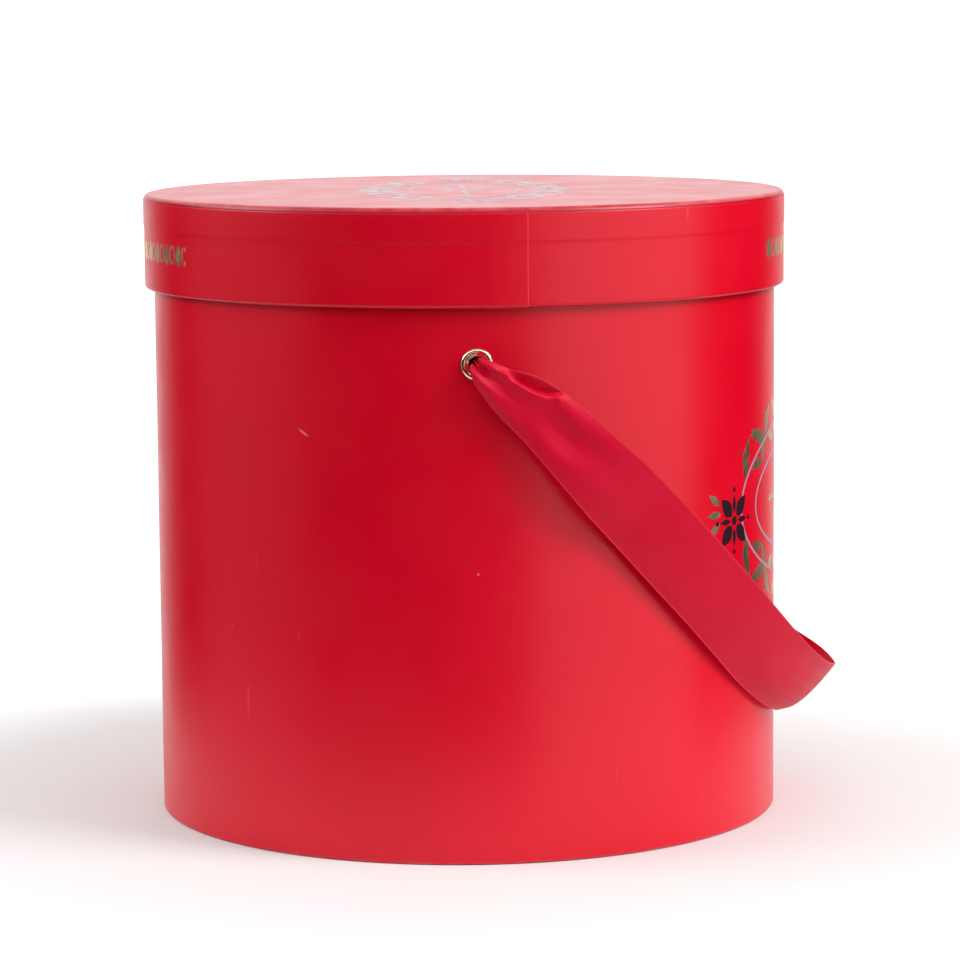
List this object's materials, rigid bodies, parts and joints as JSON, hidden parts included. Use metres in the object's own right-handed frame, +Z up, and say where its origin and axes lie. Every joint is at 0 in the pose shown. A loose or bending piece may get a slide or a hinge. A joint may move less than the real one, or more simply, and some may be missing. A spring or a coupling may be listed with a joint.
{
  "type": "round hat box",
  "caption": "Round paper-covered board box with a lift-off lid and a satin ribbon loop handle held in brass eyelets.",
  "frame": {"origin": "centre of the underside, where the box rests", "axes": "+Z up along the axis of the box; the eyelets lie on the Y axis, with the front one at -Y; the handle hangs down towards +X"},
  "size_m": [0.2379, 0.2246, 0.2124],
  "materials": {
    "red_wrap": "satin-laminated printed paper",
    "lining_paper": "matte uncoated paper",
    "greyboard": "matte",
    "eyelet_brass": "polished pale gold plate",
    "satin_ribbon": "woven satin",
    "gold_foil": "hot-stamped mirror foil ornament on the wraps",
    "ornament_ink": "black printed ornament on the wraps",
    "ornament_line": "mauve-grey printed lines of the ornament"
  },
  "bodies": {
    "box": {"body_tube": "greyboard", "base_disc": "greyboard", "base_cover": "red_wrap", "body_wrap": "red_wrap", "wall_lining": "lining_paper", "floor_lining": "lining_paper", "eyelet_front": "eyelet_brass", "eyelet_rear": "eyelet_brass", "eyelet_washer_front": "eyelet_brass", "eyelet_washer_rear": "eyelet_brass"},
    "lid": {"lid_disc": "greyboard", "lid_hoop": "greyboard", "lid_top_wrap": "red_wrap", "lid_band_wrap": "red_wrap", "lid_lining": "lining_paper", "hoop_lining": "lining_paper"},
    "handle": {"ribbon_handle": "satin_ribbon", "knot_front": "satin_ribbon", "knot_rear": "satin_ribbon"}
  },
  "joints": [
    {"name": "lid_lift", "type": "slide", "parent": "box", "child": "lid", "axis": [0, 0, 1], "range_m": [0, 0.15]},
    {"name": "handle_swing", "type": "hinge", "parent": "box", "child": "handle", "pos_m": [0, 0, 0.1625], "axis": [0, -1, 0], "range_deg": [0, 273]}
  ]
}
